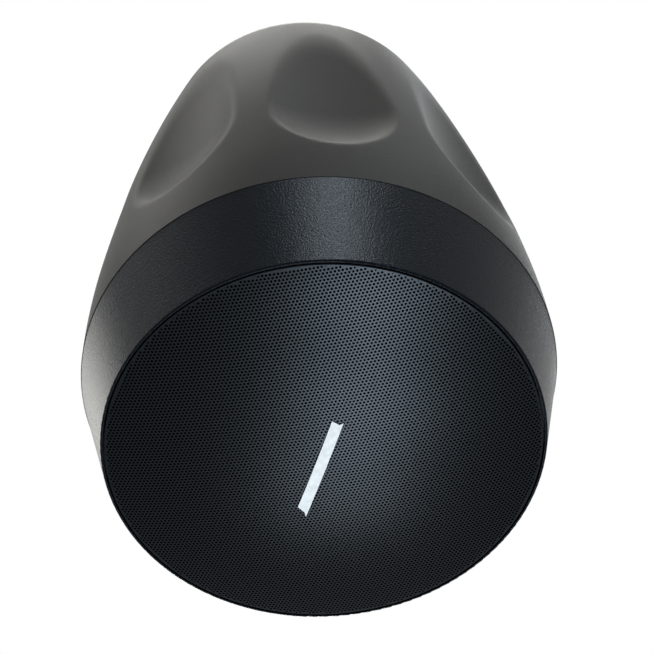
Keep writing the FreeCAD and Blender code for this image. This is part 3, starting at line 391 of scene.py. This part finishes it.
def bell_outline(inset, counts):
    """Rows (r, z, normal r, normal z) from the foot to the top of the shoulder."""
    flank_radius = FLANK_HEIGHT / (math.sin(TILT_FLANK) - math.sin(TILT_FOOT)) - inset
    crown_radius = CROWN_HEIGHT / (math.sin(TILT_CROWN) - math.sin(TILT_FLANK)) - inset
    start = (foot_radius - inset * math.cos(TILT_FOOT), foot_z - inset * math.sin(TILT_FOOT))
    flank = arc_of(start, TILT_FOOT, TILT_FLANK, flank_radius, counts[0])
    crown = arc_of(flank[-1], TILT_FLANK, TILT_CROWN, crown_radius, counts[1])
    shoulder = arc_of(crown[-1], TILT_CROWN, TILT_SHOULDER, SHOULDER_RADIUS - inset, counts[2])
    brow = arc_of(shoulder[-1], TILT_SHOULDER, math.pi / 2, BROW_RADIUS - inset, counts[3])
    return np.vstack([flank, crown[1:], shoulder[1:], brow[1:]])


outer_rows = bell_outline(0.0, OUTER_COUNTS)
inner_rows = bell_outline(SHELL_WALL, INNER_COUNTS)
print("outline rows", len(outer_rows), "top at", round(float(outer_rows[-1, 1]), 4))

# %% [markdown]
# A hollow is the mark of a large scoop: straight and slowly tapering out towards the top, and
# rounded off in a bowl at the bottom, like a thumb print in clay. Cutting with a Boolean leaves a
# knife edge, but on the real moulding the rim is crisp only low down and melts away higher up.
# A distance function gives that: it says how far a point is from the scoop, and a soft maximum
# of two distances rounds the rim by as much as asked at each height.

# %% The scoop as a distance
HOLLOW_COUNT = 8
HOLLOW_LOW = 127.0 * MM
HOLLOW_FLOOR = 200.0 * MM
HOLLOW_HIGH = 308.0 * MM
HOLLOW_DEPTH = 13.3 * MM
HOLLOW_RADIUS = 96.0 * MM
RIM_ROUND_LOW = 1.6 * MM
RIM_ROUND_HIGH = 4.0 * MM
RIM_EASING = 1.5
DEEPEST_SEARCHED = 20.0 * MM
HALVINGS = 26


def outline_radius(z):
    return float(np.interp(z, outer_rows[:, 1], outer_rows[:, 0]))


scoop_floor = np.array([outline_radius(HOLLOW_FLOOR) - HOLLOW_DEPTH, HOLLOW_FLOOR])
scoop_top = np.array([outline_radius(HOLLOW_HIGH), HOLLOW_HIGH])
scoop_lip = np.array([outline_radius(HOLLOW_LOW), HOLLOW_LOW])
along = (scoop_top - scoop_floor) / np.linalg.norm(scoop_top - scoop_floor)
outwards = np.array([along[1], -along[0]])
drop = -float((scoop_lip - scoop_floor) @ along)
lift = float((scoop_lip - scoop_floor) @ outwards)
bowl_radius = (drop ** 2 + lift ** 2) / (2 * lift)
print("bowl radius", round(bowl_radius, 4))


def scoop_distance(across, depthwise, height):
    """Distance from the scoop's surface: below zero inside it. Depthwise is out from the axis."""
    from_floor_r = depthwise - scoop_floor[0]
    from_floor_z = height - scoop_floor[1]
    lengthwise = from_floor_r * along[0] + from_floor_z * along[1]
    outward = from_floor_r * outwards[0] + from_floor_z * outwards[1]
    spoke = np.hypot(across, outward - HOLLOW_RADIUS)
    straight = spoke - HOLLOW_RADIUS
    bowl = np.hypot(lengthwise, spoke - HOLLOW_RADIUS + bowl_radius) - bowl_radius
    return np.where(lengthwise > 0, straight, bowl)


def soft_maximum(first, second, width):
    overlap = np.maximum(width - np.abs(first - second), 0) / width
    return np.maximum(first, second) + overlap ** 2 * width / 4


def hollow_depths(rows, angles, wall):
    """How far each point of the rows is pushed in, along its normal, at each angle round the bell."""
    radius, height = rows[:, 0][:, None], rows[:, 1][:, None]
    normal_r, normal_z = rows[:, 2][:, None], rows[:, 3][:, None]
    swing = np.cos(angles)[None, :]
    side = np.sin(angles)[None, :]
    share = np.clip((height - HOLLOW_LOW) / (HOLLOW_HIGH - HOLLOW_LOW), 0, 1)
    width = RIM_ROUND_LOW + (RIM_ROUND_HIGH - RIM_ROUND_LOW) * share ** RIM_EASING
    low = np.zeros((len(rows), len(angles)))
    high = np.full((len(rows), len(angles)), DEEPEST_SEARCHED)
    for _ in range(HALVINGS):
        depth = (low + high) / 2
        r = radius - depth * normal_r
        z = height - depth * normal_z
        field = soft_maximum(-depth, wall - scoop_distance(r * side, r * swing, z), width)
        outside = field > 0
        low = np.where(outside, depth, low)
        high = np.where(outside, high, depth)
    return low


# %% [markdown]
# The rows of the outline and the angles round the axis make one grid. It runs up the outside, over
# the shoulder, down into the well, out under its ledge and back down the inside to the foot, so
# the bell is closed and has its true wall. Columns are worked out for one hollow and repeated.

# %% The bell
COLUMNS_PER_HOLLOW = 50
WELL_EDGE_STEPS = 7
CORNER_HOLD = 0.4 * MM


def spun_points(rows, depth, angles):
    r = rows[:, 0][:, None] - depth * rows[:, 2][:, None]
    z = rows[:, 1][:, None] - depth * rows[:, 3][:, None]
    x = -r * np.sin(angles)[None, :]
    y = -r * np.cos(angles)[None, :]
    return np.stack([x, y, np.broadcast_to(z, x.shape)], -1)


def ledge_rows():
    """Rows from the shoulder's top into the well, round its ledge and out to the inner roof."""
    edge = np.linspace(0, math.pi / 2, WELL_EDGE_STEPS)
    rounding = np.column_stack([WELL_RADIUS + WELL_EDGE * (1 - np.sin(edge)),
                                shell_high.z - WELL_EDGE * (1 - np.cos(edge))])
    under = ledge_z - SHELL_WALL
    outer_wall = WELL_RADIUS + SHELL_WALL
    roof = inner_rows[-1, 1]
    path = np.vstack([rounding, [(WELL_RADIUS, ledge_z + CORNER_HOLD), (WELL_RADIUS, ledge_z),
                                 (LEDGE_RADIUS, ledge_z), (LEDGE_RADIUS, under), (outer_wall, under),
                                 (outer_wall, roof - CORNER_HOLD), (outer_wall, roof)]])
    return np.column_stack([path, np.zeros((len(path), 2))])


def bell():
    columns = HOLLOW_COUNT * COLUMNS_PER_HOLLOW
    angles = np.arange(columns) * 2 * math.pi / columns
    one = (np.arange(COLUMNS_PER_HOLLOW) - COLUMNS_PER_HOLLOW / 2) * 2 * math.pi / columns
    angles = angles + one[0]
    outer = np.tile(hollow_depths(outer_rows, one, 0.0), (1, HOLLOW_COUNT))
    inner = np.tile(hollow_depths(inner_rows, one, SHELL_WALL), (1, HOLLOW_COUNT))
    middle = ledge_rows()
    flat = np.zeros((len(middle), columns))
    points = np.vstack([spun_points(outer_rows, outer, angles), spun_points(middle, flat, angles),
                        spun_points(inner_rows[::-1], inner[::-1], angles)])
    faces = closed_grid_faces(points.shape[0], columns, True)
    piece = new_piece("bell_shell", points.reshape(-1, 3), faces, "shell_plastic")
    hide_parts("upper_shell")
    smooth_by_angle(piece)
    print("deepest hollow", round(float(outer.max()) / MM, 2), "mm")


bell()

# %% [markdown]
# The grille is steel sheet with some eleven thousand round holes, staggered at sixty degrees, and
# pressed into a shallow dome. A texture of dots would look right only from afar, and would show
# nothing at the edges of the holes. Here every hole is cut: each one sits in its own six-sided
# cell, and the cells share their corners, so the sheet is one mesh without gaps.

# %% The pattern of holes
HOLE_PITCH = 2.234 * MM
HOLE_RADIUS = 0.8 * MM
HOLE_SIDES = 8
ROW_ANGLE = math.radians(45.3)
GRILLE_SHEET = 0.8 * MM
GRILLE_CORNER = 0.9 * MM
EDGE_MARGIN = 0.1 * MM
SMALLEST_HOLE = 0.3 * MM
GRILLE_SAG = 15.2 * MM
STRIP_THICKNESS = 0.8 * MM
SKEW_MARGIN = 1.3
grille_radius = grille_high.x
bend_radius = grille_radius - GRILLE_CORNER
crown_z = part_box("name_strip")[0].z + STRIP_THICKNESS
sphere_radius = (grille_radius ** 2 + GRILLE_SAG ** 2) / (2 * GRILLE_SAG)
sphere_z = crown_z + sphere_radius


def on_dome(flat_points, behind):
    """Points of the dome over flat ones, the given distance behind the sheet's outer face."""
    x, y = flat_points[:, 0], flat_points[:, 1]
    r = np.hypot(x, y)
    z = sphere_z - np.sqrt(sphere_radius ** 2 - r ** 2)
    outer = np.column_stack([x, y, z])
    centre = np.array([0, 0, sphere_z])
    return outer + (centre - outer) * behind / sphere_radius


def hole_places():
    reach = int(bend_radius / HOLE_PITCH * SKEW_MARGIN)
    steps = np.arange(-reach, reach + 1)
    i, j = (grid.ravel() for grid in np.meshgrid(steps, steps))
    first = HOLE_PITCH * np.array([math.cos(ROW_ANGLE), math.sin(ROW_ANGLE)])
    second_angle = ROW_ANGLE + math.pi / 3
    second = HOLE_PITCH * np.array([math.cos(second_angle), math.sin(second_angle)])
    centres = i[:, None] * first + j[:, None] * second
    radius = np.minimum(HOLE_RADIUS, bend_radius - EDGE_MARGIN - np.hypot(*centres.T))
    kept = radius > SMALLEST_HOLE
    return i[kept], j[kept], radius[kept], first, second


hole_i, hole_j, hole_radius, first_step, second_step = hole_places()
print("holes", len(hole_i))

# %% [markdown]
# Between a six-sided cell and its eight-sided hole lies a ring of fourteen triangles. The same
# ring serves every cell. Where the cells stop, a band of larger triangles fills up to the circle
# at which the sheet bends over, and that band is found by a Delaunay triangulation.

# %% The perforated sheet
CORNER_THIRDS = np.array([(1, 1), (-1, 2), (-2, 1), (-1, -1), (1, -2), (2, -1)])
CELL_SIDES = len(CORNER_THIRDS)
EDGE_SEGMENTS = 360
CLAMP_GAP = 0.02 * MM
ONLY_INSIDE = 1
MERGE_DISTANCE = 1e-9


def cell_corners():
    """Corner points shared by neighbouring cells, and the six that belong to each cell."""
    thirds = np.stack([hole_i * 3, hole_j * 3], -1)[:, None, :] + CORNER_THIRDS[None, :, :]
    unique, index = np.unique(thirds.reshape(-1, 2), axis=0, return_inverse=True)
    flat = (unique[:, :1] * first_step + unique[:, 1:] * second_step) / 3
    reach = np.hypot(*flat.T)[:, None]
    flat = flat * np.minimum(1, (bend_radius - CLAMP_GAP) / np.maximum(reach, MM))
    return flat, index.reshape(-1, CELL_SIDES)


def ring_pattern(outer_count, inner_count):
    """Triangles between two rings, by local number: outer ones first, then inner ones."""
    outer_turn = [(k + 0.5) / outer_count for k in range(outer_count + 1)]
    inner_turn = [(k + 0.5) / inner_count for k in range(inner_count + 1)]
    triangles, a, b = [], 0, 0
    while a < outer_count or b < inner_count:
        here = (a % outer_count, outer_count + b % inner_count)
        take_outer = b >= inner_count or (a < outer_count and outer_turn[a + 1] <= inner_turn[b + 1])
        if take_outer:
            a += 1
            triangles.append((here[0], a % outer_count, here[1]))
        else:
            b += 1
            triangles.append((here[0], outer_count + b % inner_count, here[1]))
    return np.array(triangles)


def edge_band(corner_points, cells):
    """Triangles from the outermost cells to the circle of the bend, and that circle's points."""
    turn = np.arange(EDGE_SEGMENTS) * 2 * math.pi / EDGE_SEGMENTS
    circle = bend_radius * np.column_stack([np.cos(turn), np.sin(turn)])
    sides = np.stack([cells, np.roll(cells, -1, axis=1)], -1).reshape(-1, 2)
    ordered = np.sort(sides, axis=1)
    _, where, times = np.unique(ordered, axis=0, return_index=True, return_counts=True)
    border = sides[where[times == 1]]
    used, local = np.unique(border, return_inverse=True)
    local = local.reshape(-1, 2)
    flat = np.vstack([corner_points[used], circle])
    first_circle = len(used)
    loop = [first_circle + k for k in range(EDGE_SEGMENTS)]
    edges = [tuple(int(v) for v in pair) for pair in local]
    edges += list(zip(loop, loop[1:] + loop[:1]))
    made = delaunay_2d_cdt([Vector(point) for point in flat.tolist()], edges, [loop],
                           ONLY_INSIDE, MERGE_DISTANCE)
    points, faces, sources = made[0], made[2], made[3]
    held = set(zip(hole_i.tolist(), hole_j.tolist()))
    basis = np.linalg.inv(np.column_stack([first_step, second_step]))
    kept = []
    for face in faces:
        middle = np.mean([points[v][:] for v in face], axis=0)
        guess = basis @ middle
        near = [(i, j) for i in (math.floor(guess[0]), math.ceil(guess[0]))
                for j in (math.floor(guess[1]), math.ceil(guess[1]))]
        cell = min(near, key=lambda at: np.hypot(*(at[0] * first_step + at[1] * second_step - middle)))
        if cell not in held:
            kept.append([sources[v][0] for v in face])
    back = np.concatenate([used, np.full(EDGE_SEGMENTS, -1)])
    return circle, np.array(kept), back, first_circle


def perforated_sheet():
    corner_points, cells = cell_corners()
    centres = hole_i[:, None] * first_step + hole_j[:, None] * second_step
    turn = ROW_ANGLE + math.pi / 6 + np.arange(HOLE_SIDES) * 2 * math.pi / HOLE_SIDES
    round_hole = np.column_stack([np.cos(turn), np.sin(turn)])
    hole_points = centres[:, None, :] + hole_radius[:, None, None] * round_hole[None, :, :]
    hole_points = hole_points.reshape(-1, 2)
    hole_index = len(corner_points) + np.arange(len(hole_points)).reshape(-1, HOLE_SIDES)
    both = np.hstack([cells, hole_index])
    ring = both[:, ring_pattern(CELL_SIDES, HOLE_SIDES)].reshape(-1, 3)
    circle, band, back, first_circle = edge_band(corner_points, cells)
    first_new = len(corner_points) + len(hole_points)
    renumber = np.where(back >= 0, back, first_new + np.arange(len(back)) - first_circle)
    band = renumber[band]
    flat = np.vstack([corner_points, hole_points, circle])
    faces = np.vstack([ring, band])
    a, b, c = (flat[faces[:, k]] for k in range(3))
    area = (b[:, 0] - a[:, 0]) * (c[:, 1] - a[:, 1]) - (b[:, 1] - a[:, 1]) * (c[:, 0] - a[:, 0])
    faces[area > 0] = faces[area > 0][:, ::-1]
    sheet = new_piece("grille_sheet", on_dome(flat, 0.0), faces, "grille_metal")
    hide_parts("grille")
    front = on_dome(hole_points, 0.0)
    rear = on_dome(hole_points, GRILLE_SHEET)
    count = len(hole_points)
    start = np.arange(count).reshape(-1, HOLE_SIDES)
    after = np.roll(start, -1, axis=1)
    walls = np.stack([start, after, after + count, start + count], -1).reshape(-1, 4)
    new_piece("grille_hole_edges", np.vstack([front, rear]), walls, "grille_metal")


perforated_sheet()

# %% [markdown]
# Past the bend the sheet turns up into a short skirt that stands on its seat inside the rim.
# It is a plain turned form, so it is made like the bell: rows of points swept round the axis.

# %% The skirt of the grille
BEND_STEPS = 9
INNER_BEND_IN = 0.6 * MM
INNER_BEND_UP = 0.9 * MM
SKIRT_SMOOTH_ANGLE = math.radians(50)


def grille_skirt():
    turn = np.linspace(0, math.pi / 2, BEND_STEPS)
    bend_z = float(on_dome(np.array([[bend_radius, 0.0]]), 0.0)[0, 2])
    corner = np.column_stack([bend_radius + GRILLE_CORNER * np.sin(turn),
                              bend_z + GRILLE_CORNER * (1 - np.cos(turn))])
    inner = grille_radius - GRILLE_SHEET
    inner_end = (bend_radius - INNER_BEND_IN, bend_z + INNER_BEND_UP)
    path = np.vstack([corner, [(grille_radius, grille_high.z), (inner, grille_high.z),
                               (inner, bend_z + GRILLE_CORNER), inner_end]])
    rows = np.column_stack([path, np.zeros((len(path), 2))])
    angles = np.arange(EDGE_SEGMENTS) * 2 * math.pi / EDGE_SEGMENTS
    points = spun_points(rows, np.zeros((len(rows), EDGE_SEGMENTS)), angles)
    faces = closed_grid_faces(len(rows), EDGE_SEGMENTS, False)
    skirt = new_piece("grille_skirt", points.reshape(-1, 3), faces, "grille_metal")
    smooth_by_angle(skirt, SKIRT_SMOOTH_ANGLE)


grille_skirt()
